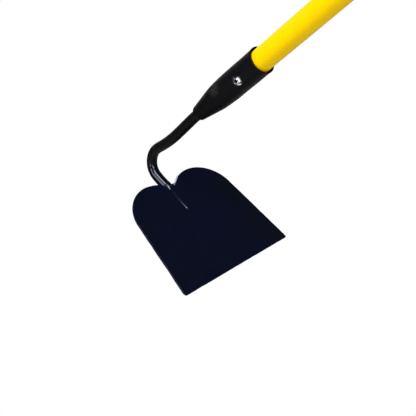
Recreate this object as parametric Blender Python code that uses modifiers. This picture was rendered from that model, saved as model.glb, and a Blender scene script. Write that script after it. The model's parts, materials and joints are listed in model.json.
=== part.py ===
"""Garden hoe: a heart-topped steel blade on a gooseneck shank, a tapered socket and a long handle.

The tool is drawn in its own directions, from the middle of the socket's mouth: X runs across the
blade, Y away from the cutting edge and Z up the handle. An empty then lays it down on level
ground, where it rests on its cutting edge and on the rim of the cap at the handle's end.
Everything is in metres.
"""

from math import acos, atan2, cos, pi, radians, sin, sqrt, tan

import bmesh
import bpy
from mathutils import Matrix, Vector

GAP = 0.0003                      # air left between two pieces that touch

# Blade, a pressed plate
EDGE_WIDTH = 0.2032
BLADE_HEIGHT = 0.1535             # from the cutting edge to the top of each lobe
BLADE_THICKNESS = 0.0026
SIDE_LEAN = radians(6.9)          # how much each side leans in on its way up
LOBE_RADIUS = 0.050
CORNER_RADIUS = 0.003
GRIND_WIDTH = 0.005               # sharpened strip along the back of the cutting edge
GRIND_LAND = 0.001                # thickness left at the edge
NOTCH_HEIGHT = 0.1385             # from the cutting edge to the bottom of the notch
RIB_RADIUS = 0.0102               # pressed rib over the shank's end, measured to its outside
RIB_DEPTH = 0.0074                # centre of its round lower end, behind the blade's face
RIB_NOSE_HEIGHT = 0.1050          # the same centre, above the cutting edge
RIB_LENGTH = 0.050                # from that centre to beyond the notch
RIB_SPREAD = 0.0024               # how much wider the rib's radius is at its upper end
RIB_TILT = radians(3.0)           # lean that lets the rib fade towards the notch
RIB_WALL = 0.0023

# Where the blade sits on the tool
EDGE_DROP = 0.1868                # cutting edge below the handle's axis
EDGE_REACH = 0.2067               # cutting edge beyond the socket's mouth
BLADE_LEAN = radians(14.56)       # lean of the blade off square to the handle

# Shank, one bent round bar
SHANK_RADIUS = 0.00705
SHANK_START = -0.104              # its upper end, inside the socket
SHANK_NOSE_HEIGHT = 0.1030        # its lower end, above the cutting edge
SHANK_RUNS = (                    # length and turn of each stretch above the main bend
    (0.032, 0.0),
    (0.010, radians(2.9)),
    (0.0348, 0.0),
    (0.040, radians(-10.1)),
    (0.0077, 0.0),
)
MAIN_BEND = ((0.030, 0.53), (0.020, 0.47))    # radius and share of the turn of its two arcs
BEND_TO_TUCK = 0.004
TUCK_LENGTH = 0.016               # two equal bends that bring the shank into the blade's rib
TUCK_TURN = radians(9.5)
SHANK_STEP = 0.0035               # spacing of the sections along a bend

# Socket, drawn from tube
SOCKET_RADIUS = 0.0171
SOCKET_LIP = 0.0020               # flared lip beyond the mouth
SOCKET_STRAIGHT = 0.062           # length of its straight part from the mouth
SOCKET_SHOULDER = (0.0162, 0.0865)    # radius and distance from the mouth where the cone starts
SOCKET_NECK = (0.0093, 0.1285)        # radius and distance from the mouth where the cone ends

# Handle, a pultruded fibreglass tube
HANDLE_RADIUS = 0.0143
HANDLE_WALL = 0.0030
HANDLE_LENGTH = 1.3716
HANDLE_INSERTION = 0.080
PLUG_LENGTH = 0.066
CAP_WALL = 0.0018
CAP_LENGTH = 0.038

# Rivet, clinched on the side that faces the viewer and domed on the other
RIVET_DISTANCE = 0.0318           # from the socket's mouth
RIVET_ROLL = radians(13)          # its axis is turned this much round the handle
RIVET_SHANK_RADIUS = 0.0024
RIVET_HEAD_RADIUS = 0.0064
RIVET_HEAD_HEIGHT = 0.0042
RIVET_HOLLOW_RADIUS = 0.0017
RIVET_HOLLOW_DEPTH = 0.0026
RIVET_TAIL_HEIGHT = 0.0030
RIVET_ROOT = 0.0030               # how far a head is drawn into the socket before it is trimmed

# Welds
BEAD_RADIUS = 0.0022
BEAD_LENGTH = 0.024
NECK_WELD_LENGTH = 0.0026

ROUND_STEPS = 48                  # sides of a full turn
RIVET_STEPS = 28
SHANK_BEVEL = 6                   # gives the shank 16 sides


def clear_scene():
    """Remove every object that the new file came with."""
    for item in list(bpy.data.objects):
        bpy.data.objects.remove(item, do_unlink=True)


def collection(name):
    """A new collection under the scene."""
    group = bpy.data.collections.new(name)
    bpy.context.scene.collection.children.link(group)
    return group


def material(name, colour, roughness, metallic=0.0):
    """A Principled material of one colour."""
    finish = bpy.data.materials.new(name)
    finish.use_nodes = True
    shader = finish.node_tree.nodes["Principled BSDF"]
    shader.inputs["Base Color"].default_value = (*colour, 1.0)
    shader.inputs["Roughness"].default_value = roughness
    shader.inputs["Metallic"].default_value = metallic
    return finish


def add(name, data, parent, group, finish=None):
    """An object for some data, placed in its parent's directions."""
    item = bpy.data.objects.new(name, data)
    item.parent = parent
    group.objects.link(item)
    if finish is not None:
        data.materials.append(finish)
    if group is CUTTERS:
        item.hide_render = True
        item.display_type = "WIRE"
    return item


def boolean(item, other, operation="DIFFERENCE"):
    """Cut another object out of this one, or join it on."""
    step = item.modifiers.new(operation.lower() + "_" + other.name, "BOOLEAN")
    step.operation = operation
    step.solver = "EXACT"
    step.object = other


def as_mesh(item):
    """Turn a curve object into a mesh object of the same name and place."""
    bpy.context.view_layer.update()
    name, parent, place = item.name, item.parent, item.matrix_local.copy()
    group = item.users_collection[0]
    evaluated = item.evaluated_get(bpy.context.evaluated_depsgraph_get())
    mesh = bpy.data.meshes.new_from_object(evaluated)
    shape = bmesh.new()
    shape.from_mesh(mesh)
    bmesh.ops.remove_doubles(shape, verts=shape.verts, dist=1e-6)
    bmesh.ops.recalc_face_normals(shape, faces=shape.faces)
    shape.to_mesh(mesh)
    shape.free()
    bpy.data.objects.remove(item)
    solid = add(name, mesh, parent, group)
    solid.matrix_local = place
    return solid


def arc(centre, radius, start, end, steps):
    """Points along an arc, from its start angle to its end angle."""
    angles = [start + (end - start) * i / steps for i in range(steps + 1)]
    return [Vector((centre[0] + radius * cos(a), centre[1] + radius * sin(a))) for a in angles]


def rounded(corners, steps=3):
    """A polyline through (x, y, fillet) corners, each fillet an arc tangent to both sides.

    The last corner's neighbour is the first, so the corners of a closed outline can all be round.
    """
    points = []
    for i, (x, y, fillet) in enumerate(corners):
        here = Vector((x, y))
        if fillet == 0.0:
            points.append(here)
            continue
        before = (Vector(corners[i - 1][:2]) - here).normalized()
        after = (Vector(corners[(i + 1) % len(corners)][:2]) - here).normalized()
        half = acos(max(-1.0, min(1.0, before.dot(after)))) / 2
        centre = here + (before + after).normalized() * fillet / sin(half)
        first = here + before * fillet / tan(half) - centre
        last = here + after * fillet / tan(half) - centre
        start = atan2(first.y, first.x)
        turn = (atan2(last.y, last.x) - start + pi) % (2 * pi) - pi
        points += arc(centre, fillet, start, start + turn, steps)
    return points


def turned(name, profile, parent, group, finish=None, closed=False, steps=ROUND_STEPS):
    """A profile of (radius, height) points turned about Z by a Screw modifier."""
    mesh = bpy.data.meshes.new(name)
    count = len(profile)
    edges = [(i, i + 1) for i in range(count - 1)]
    if closed:
        edges.append((count - 1, 0))
    mesh.from_pydata([(p[0], 0.0, p[1]) for p in profile], edges, [])
    item = add(name, mesh, parent, group, finish)
    screw = item.modifiers.new("turn", "SCREW")
    screw.steps = screw.render_steps = steps
    screw.use_merge_vertices = True
    screw.merge_threshold = 1e-6
    screw.use_smooth_shade = True
    return item


def column(name, radius, low, high, parent, group, finish=None, steps=ROUND_STEPS):
    """A round bar about Z, between two heights."""
    profile = [(0.0, high), (radius, high), (radius, low), (0.0, low)]
    return turned(name, profile, parent, group, finish, steps=steps)


def box(name, size, parent, group):
    """A box of the given size about its own centre."""
    mesh = bpy.data.meshes.new(name)
    shape = bmesh.new()
    bmesh.ops.create_cube(shape, size=1.0, matrix=Matrix.Diagonal((*size, 1.0)))
    shape.to_mesh(mesh)
    shape.free()
    return add(name, mesh, parent, group)


def lump(name, radii, parent, group, finish=None):
    """A ball squashed to three radii."""
    mesh = bpy.data.meshes.new(name)
    shape = bmesh.new()
    bmesh.ops.create_uvsphere(shape, u_segments=20, v_segments=12, radius=1.0)
    bmesh.ops.scale(shape, vec=radii, verts=shape.verts)
    shape.to_mesh(mesh)
    shape.free()
    return add(name, mesh, parent, group, finish)


def rod(name, points, radius, parent, group, finish=None, bevel=4, swell=None):
    """A round bar along a chain of points, with flat ends; swell scales the radius at each."""
    curve = bpy.data.curves.new(name, "CURVE")
    curve.dimensions = "3D"
    curve.bevel_depth = radius
    curve.bevel_resolution = bevel
    curve.use_fill_caps = True
    line = curve.splines.new("POLY")
    line.points.add(len(points) - 1)
    for i, (knot, place) in enumerate(zip(line.points, points)):
        knot.co = (*place, 1.0)
        knot.radius = swell[i] if swell else 1.0
    line.use_smooth = True
    return add(name, curve, parent, group, finish)


def smooth(item):
    """Shade a piece smooth, apart from its sharp edges."""
    if item.type == "MESH" and item.data.polygons:
        item.data.shade_smooth()
        item.data.set_sharp_from_angle(angle=radians(35))


def blade_outline(grow=0.0):
    """The blade's outline, counter-clockwise: leaning sides, round lobes and a straight-sided notch.

    The sides of the notch run from its bottom to touch the lobes, so nothing has a corner there.
    """
    half = EDGE_WIDTH / 2
    lobe_y = BLADE_HEIGHT - LOBE_RADIUS
    lobe_x = half - (LOBE_RADIUS + lobe_y * sin(SIDE_LEAN)) / cos(SIDE_LEAN)
    corner_x = half - CORNER_RADIUS * (1 + sin(SIDE_LEAN)) / cos(SIDE_LEAN)
    to_notch = Vector((-lobe_x, NOTCH_HEIGHT - lobe_y))
    touch = atan2(to_notch.y, to_notch.x) - acos(LOBE_RADIUS / to_notch.length)
    right = arc((corner_x, CORNER_RADIUS), CORNER_RADIUS + grow, -pi / 2, SIDE_LEAN, 5)
    right += arc((lobe_x, lobe_y), LOBE_RADIUS + grow, SIDE_LEAN, touch, 24)
    right.append(Vector((0.0, NOTCH_HEIGHT + grow / sin(touch))))
    left = [Vector((-p.x, p.y)) for p in reversed(right[:-1])]
    return right + left


def plate(name, points, low, high, parent, group):
    """A flat outline given a thickness from one height to another."""
    curve = bpy.data.curves.new(name, "CURVE")
    curve.dimensions = "2D"
    curve.fill_mode = "BOTH"
    curve.extrude = (high - low) / 2
    line = curve.splines.new("POLY")
    line.points.add(len(points) - 1)
    for knot, place in zip(line.points, points):
        knot.co = (place.x, place.y, 0.0, 1.0)
    line.use_cyclic_u = True
    item = add(name, curve, parent, group)
    item.location.z = (high + low) / 2
    return as_mesh(item)


def shank_path():
    """Centre of the bar, as (y, z) in the tool's directions, and its final depth at the blade.

    The bar is walked from inside the socket; a heading of zero runs down the handle's axis and a
    right angle runs towards the cutting edge.
    """
    place, heading = Vector((0.0, SHANK_START)), 0.0
    points = [place.copy()]

    def advance(length, turn):
        nonlocal heading, place
        steps = max(1, round(length / SHANK_STEP)) if turn else 1
        for _ in range(steps):
            heading += turn / steps / 2
            place -= Vector((sin(heading), cos(heading))) * length / steps
            heading += turn / steps / 2
            points.append(place.copy())

    for length, turn in SHANK_RUNS:
        advance(length, turn)
    left_to_turn = pi / 2 + BLADE_LEAN - heading
    for radius, share in MAIN_BEND:
        advance(radius * share * left_to_turn, share * left_to_turn)
    advance(BEND_TO_TUCK, 0.0)
    advance(TUCK_LENGTH, TUCK_TURN)
    advance(TUCK_LENGTH, -TUCK_TURN)
    up, out = (cos(BLADE_LEAN), -sin(BLADE_LEAN)), (sin(BLADE_LEAN), cos(BLADE_LEAN))
    from_edge = place - Vector((-EDGE_DROP, -EDGE_REACH))
    advance(from_edge.dot(up) - SHANK_NOSE_HEIGHT, 0.0)
    return points, from_edge.dot(out)


def rib_form(name, grow, parent):
    """A round-nosed bar, wider towards the notch and leaning back, that stands for the rib."""
    nose = RIB_RADIUS + grow
    profile = [Vector((0.0, RIB_LENGTH)), Vector((nose + RIB_SPREAD, RIB_LENGTH))]
    profile += arc((0.0, 0.0), nose, 0.0, -pi / 2, 12)
    item = turned(name, profile, parent, CUTTERS)
    item.rotation_euler.x = -pi / 2 - RIB_TILT
    item.location = (0.0, RIB_NOSE_HEIGHT, -RIB_DEPTH)
    return item


def ribbed_plate(name, grow, parent, group):
    """The blade's plate with its rib standing proud of the face, all of it grown by a margin."""
    proud = 0.008
    solid = plate(name, blade_outline(grow), -BLADE_THICKNESS - grow, proud, parent, group)
    size = (EDGE_WIDTH * 1.2, BLADE_HEIGHT * 1.4, proud * 3)
    face = box(name + "_face_cut", size, parent, CUTTERS)
    face.location = (0.0, BLADE_HEIGHT / 2, size[2] / 2 + grow)
    boolean(face, rib_form(name + "_rib", grow, parent))
    boolean(solid, face)
    return solid


def make_blade(parent):
    """Plate with a rib pressed towards the user, its hollow at the back, and a ground edge."""
    blade = ribbed_plate("blade", 0.0, parent, PIECES)
    blade.data.materials.append(material("blade_paint", (0.008, 0.010, 0.022), 0.35, 0.1))
    boolean(blade, rib_form("rib_hollow", -RIB_WALL, parent))
    slope = atan2(BLADE_THICKNESS - GRIND_LAND, GRIND_WIDTH)
    deep = 0.010
    grind = box("grind_cut", (EDGE_WIDTH * 1.2, GRIND_WIDTH * 6, deep), parent, CUTTERS)
    grind.rotation_euler.x = -slope
    grind.location = Vector((0.0, 0.0, -GRIND_LAND)) - Vector((0.0, sin(slope), cos(slope))) * deep / 2
    boolean(blade, grind)
    smooth(blade)
    return blade


def make_shank(parent, path):
    """The bent bar."""
    paint = material("shank_paint", (0.010, 0.010, 0.012), 0.25, 0.1)
    places = [(0.0, p.x, p.y) for p in path]
    return rod("shank", places, SHANK_RADIUS, parent, PIECES, paint, SHANK_BEVEL)


def make_back_welds(parent, shank_depth):
    """Two fillet beads along the shank, on the back of the blade, with the ripples of a weld."""
    paint = material("weld_paint", (0.012, 0.012, 0.014), 0.4, 0.1)
    depth = -BLADE_THICKNESS - GAP - BEAD_RADIUS
    reach = SHANK_RADIUS + GAP + BEAD_RADIUS
    aside = sqrt(reach ** 2 - (depth - shank_depth) ** 2)
    count, ripples = 24, 7
    for name, side in (("weld_back_left", -1), ("weld_back_right", 1)):
        points, swell = [], []
        for i in range(count + 1):
            along = i / count
            taper = 0.55 + 0.45 * sin(pi * along) ** 0.5
            points.append((side * aside, RIB_NOSE_HEIGHT + BEAD_LENGTH * along, depth))
            swell.append(taper * (0.95 + 0.05 * cos(2 * pi * ripples * along)))
        rod(name, points, BEAD_RADIUS, parent, PIECES, paint, 2, swell)


def make_notch_weld(parent, root, path):
    """Two lumps of weld that fill the notch in front of the shank and lap over its edges."""
    paint = material("weld_notch_paint", (0.012, 0.012, 0.016), 0.25, 0.1)
    weld = lump("weld_notch", (0.0056, 0.0050, 0.0030), parent, PIECES, paint)
    weld.location = (-0.0034, NOTCH_HEIGHT + 0.0010, 0.0006)
    side = lump("weld_notch_side", (0.0050, 0.0034, 0.0022), parent, CUTTERS)
    side.location = (0.0040, NOTCH_HEIGHT + 0.0030, 0.0)
    boolean(weld, side, "UNION")
    boolean(weld, ribbed_plate("blade_room", GAP, parent, CUTTERS))
    places = [(0.0, p.x, p.y) for p in path]
    bar = rod("shank_room", places, SHANK_RADIUS + GAP, root, CUTTERS, None, SHANK_BEVEL)
    boolean(weld, as_mesh(bar))
    smooth(weld)


def make_socket(root, rivet_hole):
    """Turned socket: a straight mouth, a slight taper, then a cone down to the shank."""
    neck, shoulder = -SOCKET_NECK[1], -SOCKET_SHOULDER[1]
    bore, neck_bore = HANDLE_RADIUS + GAP, SHANK_RADIUS + GAP
    outside = [
        (SOCKET_RADIUS, SOCKET_LIP, 0.0004),
        (SOCKET_RADIUS, -SOCKET_STRAIGHT, 0.080),
        (SOCKET_SHOULDER[0], shoulder, 0.040),
        (SOCKET_NECK[0], neck, 0.0006),
    ]
    inside = [
        (neck_bore, neck, 0.0),
        (neck_bore, neck + 0.006, 0.0),
        (bore, shoulder, 0.0),
        (bore, -0.0004, 0.0),
        (SOCKET_RADIUS - 0.0010, SOCKET_LIP, 0.0),
    ]
    profile = rounded([*outside, *inside])
    steel = material("socket_paint", (0.012, 0.012, 0.013), 0.45, 0.1)
    socket = turned("socket", profile, root, PIECES, steel, closed=True)
    boolean(socket, rivet_hole)


def make_neck_weld(root):
    """Ring of weld that closes the socket's neck round the shank."""
    top = -SOCKET_NECK[1] - GAP
    inner, outer = SHANK_RADIUS + GAP, SOCKET_NECK[0] - 0.0003
    low = top - NECK_WELD_LENGTH
    toe = inner + 0.0004
    profile = [
        (outer + (toe - outer) * sin(angle), top + (low - top) * (1 - cos(angle)))
        for angle in (pi / 2 * i / 6 for i in range(7))
    ]
    profile += [(inner, low), (inner, top)]
    paint = material("neck_weld_paint", (0.012, 0.012, 0.013), 0.45, 0.1)
    turned("neck_weld", profile, root, PIECES, paint, closed=True, steps=32)


def make_handle(root, rivet_hole):
    """Fibreglass tube, the plug that backs it at the rivet and the cap on its far end."""
    low, high = -HANDLE_INSERTION, HANDLE_LENGTH - HANDLE_INSERTION
    bore = HANDLE_RADIUS - HANDLE_WALL
    ease = 0.0005
    profile = rounded([
        (HANDLE_RADIUS, high, ease), (HANDLE_RADIUS, low, ease), (bore, low, ease), (bore, high, ease),
    ], 1)
    yellow = material("handle_resin", (0.96, 0.64, 0.006), 0.35)
    tube = turned("handle_tube", profile, root, PIECES, yellow, closed=True)
    boolean(tube, rivet_hole)

    plug_radius, plug_low = bore - GAP, low + 0.001
    plug_high = plug_low + PLUG_LENGTH
    profile = rounded([
        (0.0, plug_high, 0.0), (plug_radius, plug_high, 0.001),
        (plug_radius, plug_low, 0.001), (0.0, plug_low, 0.0),
    ], 1)
    plug = turned("core_plug", profile, root, PIECES, material("plug_wood", (0.55, 0.38, 0.2), 0.7))
    boolean(plug, rivet_hole)

    inside, end = HANDLE_RADIUS + GAP, high + GAP
    outside = inside + CAP_WALL
    profile = rounded([
        (0.0, end + CAP_WALL * 1.5, 0.0), (outside, end + CAP_WALL * 1.5, 0.0020),
        (outside, high - CAP_LENGTH, 0.0006), (inside, high - CAP_LENGTH, 0.0004),
        (inside, end, 0.0), (0.0, end, 0.0),
    ])
    vinyl = material("cap_vinyl", (0.015, 0.015, 0.016), 0.6)
    turned("end_cap", profile, root, PIECES, vinyl)
    return Vector((-outside, end + CAP_WALL * 1.5))


def rivet_head(name, height, hollow, frame, socket_room):
    """A domed head, dished in the middle where it is hollow, its underside fitted to the socket."""
    base, crown = SOCKET_RADIUS - RIVET_ROOT, SOCKET_RADIUS + GAP + height
    steps, first = 10, 1
    profile = [Vector((0.0, crown))]
    if hollow:
        floor = crown - RIVET_HOLLOW_DEPTH
        profile = [Vector((0.0, floor)), Vector((RIVET_HOLLOW_RADIUS * 0.8, floor))]
        profile.append(Vector((RIVET_HOLLOW_RADIUS, (floor + 3 * crown) / 4)))
        first = 3
    for i in range(first, steps + 1):
        angle = pi / 2 * i / steps
        height_here = SOCKET_RADIUS + (crown - SOCKET_RADIUS) * cos(angle) ** 0.8
        profile.append(Vector((RIVET_HEAD_RADIUS * sin(angle), height_here)))
    profile += [Vector((RIVET_HEAD_RADIUS, base)), Vector((0.0, base))]
    head = turned(name, profile, frame, CUTTERS, steps=RIVET_STEPS)
    boolean(head, socket_room)
    return head


def make_rivet(root, frame):
    """One rivet right through: a clinched hollow head on one side, a plain dome on the other."""
    room = column("socket_room", SOCKET_RADIUS + GAP, -3 * RIVET_DISTANCE, RIVET_DISTANCE,
                  root, CUTTERS)
    near = rivet_head("clinch", RIVET_HEAD_HEIGHT, True, frame, room)
    far = rivet_head("dome", RIVET_TAIL_HEIGHT, False, frame, room)
    far.rotation_euler.x = pi
    reach = SOCKET_RADIUS + RIVET_TAIL_HEIGHT / 4
    zinc = material("rivet_zinc", (0.75, 0.76, 0.78), 0.25, 1.0)
    rivet = column("rivet", RIVET_SHANK_RADIUS, -reach, reach, frame, PIECES, zinc, RIVET_STEPS)
    boolean(rivet, near, "UNION")
    boolean(rivet, far, "UNION")


def lay_down(root, cap_corner):
    """Rest the tool on its cutting edge and the cap's rim, centred over the ground's origin."""
    edge = Vector((-EDGE_DROP, -EDGE_REACH))
    slope = atan2(cap_corner.x - edge.x, cap_corner.y - edge.y)
    root.matrix_world = Matrix((
        (0.0, sin(slope), cos(slope), 0.0),
        (1.0, 0.0, 0.0, 0.0),
        (0.0, cos(slope), -sin(slope), 0.0),
        (0.0, 0.0, 0.0, 1.0),
    ))
    bpy.context.view_layer.update()
    graph = bpy.context.evaluated_depsgraph_get()
    corners = []
    for item in (piece for piece in PIECES.objects if piece.type != "EMPTY"):
        solid = item.evaluated_get(graph)
        corners += [solid.matrix_world @ v.co for v in solid.to_mesh().vertices]
        solid.to_mesh_clear()
    low = [min(c[axis] for c in corners) for axis in range(3)]
    high = [max(c[axis] for c in corners) for axis in range(3)]
    root.location = (-(low[0] + high[0]) / 2, -(low[1] + high[1]) / 2, -low[2])
    bpy.context.view_layer.update()


def main():
    root = bpy.data.objects.new("hoe_frame", None)
    PIECES.objects.link(root)
    blade_frame = bpy.data.objects.new("blade_frame", None)
    blade_frame.parent = root
    blade_frame.location = (0.0, -EDGE_DROP, -EDGE_REACH)
    blade_frame.rotation_euler.x = -BLADE_LEAN
    PIECES.objects.link(blade_frame)
    rivet_frame = bpy.data.objects.new("rivet_frame", None)
    rivet_frame.parent = root
    rivet_frame.location.z = -RIVET_DISTANCE
    rivet_frame.rotation_euler = (0.0, -pi / 2, RIVET_ROLL)
    PIECES.objects.link(rivet_frame)

    path, shank_depth = shank_path()
    hole = column("rivet_hole", RIVET_SHANK_RADIUS + GAP, -2 * SOCKET_RADIUS, 2 * SOCKET_RADIUS,
                  rivet_frame, CUTTERS, steps=RIVET_STEPS)
    make_blade(blade_frame)
    make_shank(root, path)
    make_back_welds(blade_frame, shank_depth)
    make_notch_weld(blade_frame, root, path)
    make_socket(root, hole)
    make_neck_weld(root)
    cap_corner = make_handle(root, hole)
    make_rivet(root, rivet_frame)
    lay_down(root, cap_corner)


clear_scene()
PIECES = collection("garden_hoe")
CUTTERS = collection("cutters")
main()
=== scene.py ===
# %% [markdown]
# # Finishing a garden hoe
# The hoe's construction is already settled: a pressed blade, a bent bar, a tapered socket, a resin
# handle, and the welds and the rivet that hold them together. This lesson gives each piece the
# surface of the real one. It starts by loading that construction as a fixed frame. Nothing in it
# is moved: each new piece is worked out in place and takes over from the plain solid of its name.

import json
import math

import bmesh
import bpy
import numpy as np
from mathutils import Matrix, Vector


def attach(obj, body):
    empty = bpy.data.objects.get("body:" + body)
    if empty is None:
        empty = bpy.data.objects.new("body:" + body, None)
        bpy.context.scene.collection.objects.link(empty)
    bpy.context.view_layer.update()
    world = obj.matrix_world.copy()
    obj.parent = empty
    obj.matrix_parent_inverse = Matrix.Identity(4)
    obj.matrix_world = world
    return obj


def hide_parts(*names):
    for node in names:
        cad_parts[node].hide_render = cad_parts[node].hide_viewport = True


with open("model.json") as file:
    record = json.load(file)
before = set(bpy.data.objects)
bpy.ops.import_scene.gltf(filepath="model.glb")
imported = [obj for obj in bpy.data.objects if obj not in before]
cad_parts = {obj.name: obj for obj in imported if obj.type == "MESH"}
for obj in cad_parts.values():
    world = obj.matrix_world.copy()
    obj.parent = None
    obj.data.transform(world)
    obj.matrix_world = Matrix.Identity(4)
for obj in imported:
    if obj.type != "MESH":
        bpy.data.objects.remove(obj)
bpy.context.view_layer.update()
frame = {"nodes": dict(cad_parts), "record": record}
print("loaded", len(frame["nodes"]), "plain solids:", ", ".join(sorted(frame["nodes"])))

# %% [markdown]
# ## Directions
# The hoe lies on the ground, resting on its cutting edge and on the far end of its handle, so its
# handle slopes. Its curves are simpler in the tool's own directions: across the blade, away from
# the cutting edge, and along the handle, all from the middle of the socket's mouth. The frame's
# record states the handle's end and the blade's face, and these two give all directions, so
# nothing has to be turned afterwards.

# %% Tool and blade directions from the frame's record
MOUNTS = {mount["name"]: mount for mount in frame["record"]["mounts"]}
MOUTH_TO_END = 1.2946            # from the socket's mouth to the flat end of the cap
FACE_HEIGHT = 0.050              # the record's point on the blade, above the cutting edge

ACROSS = np.array([0.0, 1.0, 0.0])
ALONG = np.array(MOUNTS["handle_end"]["axis"])
AWAY = np.cross(ALONG, ACROSS)
MOUTH = np.array(MOUNTS["handle_end"]["pos_m"]) - MOUTH_TO_END * ALONG

FACING = np.array(MOUNTS["blade_face"]["axis"])
UPRIGHT = np.cross(FACING, ACROSS)
EDGE_MIDDLE = np.array(MOUNTS["blade_face"]["pos_m"]) - FACE_HEIGHT * UPRIGHT


def in_tool(x, y, z):
    """The mouth's place plus x times across, y times away and z times along."""
    x, y, z = np.broadcast_arrays(x, y, z)
    return MOUTH + x[..., None] * ACROSS + y[..., None] * AWAY + z[..., None] * ALONG


def on_blade(x, y, z):
    """The edge's middle plus x times across, y up the blade's face and z out of it."""
    x, y, z = np.broadcast_arrays(x, y, z)
    return EDGE_MIDDLE + x[..., None] * ACROSS + y[..., None] * UPRIGHT + z[..., None] * FACING


print("the mouth is at", MOUTH.round(4), "and the middle of the cutting edge at", EDGE_MIDDLE.round(4))

# %% [markdown]
# ## Surfaces from grids
# Every new piece is a grid of points: one index runs round the piece and the other along it. The
# points are whole numpy arrays, so a formula is written once for all of them, and one number
# changes the shape, which is why it is preferred here to modelling by hand. A row of equal points
# at the start or end of a grid is a pole, and merging its points closes the surface there.

# %% A grid of points becomes a closed mesh
MERGE_DISTANCE = 1e-7


def add_object(name, data):
    """A new object at the origin."""
    thing = bpy.data.objects.new(name, data)
    bpy.context.scene.collection.objects.link(thing)
    return thing


def grid_faces(rows, columns, ring):
    """Corner numbers (i, j), (i, j+1), (i+1, j+1), (i+1, j). Columns wrap, and a ring's rows too."""
    i, j = np.meshgrid(np.arange(rows if ring else rows - 1), np.arange(columns), indexing="ij")
    below, right = (i + 1) % rows, (j + 1) % columns
    corners = (i * columns + j, i * columns + right, below * columns + right, below * columns + j)
    return np.stack(corners, axis=-1).reshape(-1, 4)


def make_piece(name, points, ring=False, **layers):
    """A smooth closed mesh object from a grid of places; each layer is one number for every point."""
    rows, columns = points.shape[:2]
    mesh = bpy.data.meshes.new(name)
    mesh.from_pydata(points.reshape(-1, 3), [], grid_faces(rows, columns, ring))
    for layer, values in layers.items():
        attribute = mesh.attributes.new(layer, "FLOAT", "POINT")
        spread = np.broadcast_to(values, (rows, columns)).astype(np.float32)
        attribute.data.foreach_set("value", spread.ravel())
    return close_and_add(name, mesh)


def close_and_add(name, mesh):
    """Merge the poles, turn the faces outwards, shade them smooth and put the mesh in the scene."""
    shape = bmesh.new()
    shape.from_mesh(mesh)
    bmesh.ops.remove_doubles(shape, verts=shape.verts, dist=MERGE_DISTANCE)
    bmesh.ops.recalc_face_normals(shape, faces=shape.faces)
    shape.to_mesh(mesh)
    shape.free()
    mesh.shade_smooth()
    print(name, "has", len(mesh.polygons), "faces")
    return add_object(name, mesh)


def settle(piece, finish, slot, *nodes):
    """Give a piece its finish, fix it to the hoe, and let it stand for the plain solids named."""
    piece.data.materials.append(finish)
    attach(piece, "root")
    if nodes:
        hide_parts(*nodes)
    print(piece.name, "gets the finish", slot)


# %% [markdown]
# ## Unevenness
# Nothing here was machined all over: the blade was sheared and pressed, the socket swaged, the
# welds melted. Sculpting would give such dents, but never the same ones twice. A sum of sine
# waves in many directions is smooth and doesn't repeat, so it serves for slight dents as well as
# for weld metal. The waves come from a seed, the same at each run.

# %% A smooth random height for any set of points
WAVES = 28
WAVE_LENGTHS = (0.7, 1.7)        # the shortest and the longest wave, for a size of 1


def unevenness(points, size, seed):
    """Heights of about -1 to 1: the mean of sines of (direction . point) / length, drawn from a seed."""
    draw = np.random.default_rng(seed)
    direction = draw.normal(size=(WAVES, 3))
    direction /= np.linalg.norm(direction, axis=1, keepdims=True)
    length = size * draw.uniform(*WAVE_LENGTHS, (WAVES, 1))
    phase = draw.uniform(0.0, 2 * math.pi, WAVES)
    angle = 2 * math.pi * points @ (direction / length).T + phase
    return np.sin(angle).sum(axis=-1) / math.sqrt(WAVES / 2)


def ease(value, low, high):
    """0 below low, 1 above high and the smooth step 3t^2 - 2t^3 between them."""
    t = np.clip((value - low) / (high - low), 0.0, 1.0)
    return t * t * (3 - 2 * t)


# %% [markdown]
# ## Outlines with round corners
# A turned piece is a profile carried round an axis. The profile is a list of corners, each with
# the radius of its fillet, and the fillet is an arc that touches both sides of the corner. A
# bevel would round them as well, but with arcs each radius is the one that was asked for.

# %% Round the corners of a profile
def arc(centre, radius, start, end, count):
    """Points centre + radius (cos a, sin a) at even angles."""
    a = np.linspace(start, end, count)
    return centre + radius * np.column_stack([np.cos(a), np.sin(a)])


def fillet(before, corner, after, radius, steps):
    """An arc of the given radius, tangent to the two sides that meet in a corner."""
    to_before = (before - corner) / np.linalg.norm(before - corner)
    to_after = (after - corner) / np.linalg.norm(after - corner)
    half = math.acos(np.clip(to_before @ to_after, -1.0, 1.0)) / 2
    middle = to_before + to_after
    centre = corner + middle / np.linalg.norm(middle) * radius / math.sin(half)
    first = corner + to_before * radius / math.tan(half) - centre
    last = corner + to_after * radius / math.tan(half) - centre
    start = math.atan2(first[1], first[0])
    turn = (math.atan2(last[1], last[0]) - start + math.pi) % (2 * math.pi) - math.pi
    return arc(centre, radius, start, start + turn, steps + 1)


def rounded(corners, steps):
    """Points along a closed outline of (x, y, fillet) corners, with an arc at each that has one."""
    flat = np.array([corner[:2] for corner in corners])
    runs = []
    for i, (_, _, radius) in enumerate(corners):
        after = flat[(i + 1) % len(flat)]
        runs.append(fillet(flat[i - 1], flat[i], after, radius, steps) if radius else flat[i:i + 1])
    return np.concatenate(runs)


def filled_in(outline, spacing):
    """The same line with points added, so that no two are further apart than the spacing."""
    gaps = np.linalg.norm(np.diff(outline, axis=0), axis=1)
    counts = np.maximum(1, np.ceil(gaps / spacing).astype(int))
    runs = [
        first + (last - first) * np.linspace(0.0, 1.0, count, endpoint=False)[:, None]
        for first, last, count in zip(outline[:-1], outline[1:], counts)
    ]
    return np.concatenate([*runs, outline[-1:]])


def angles(count):
    """Evenly spread angles of a full turn."""
    return np.linspace(0.0, 2 * math.pi, count, endpoint=False)


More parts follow.
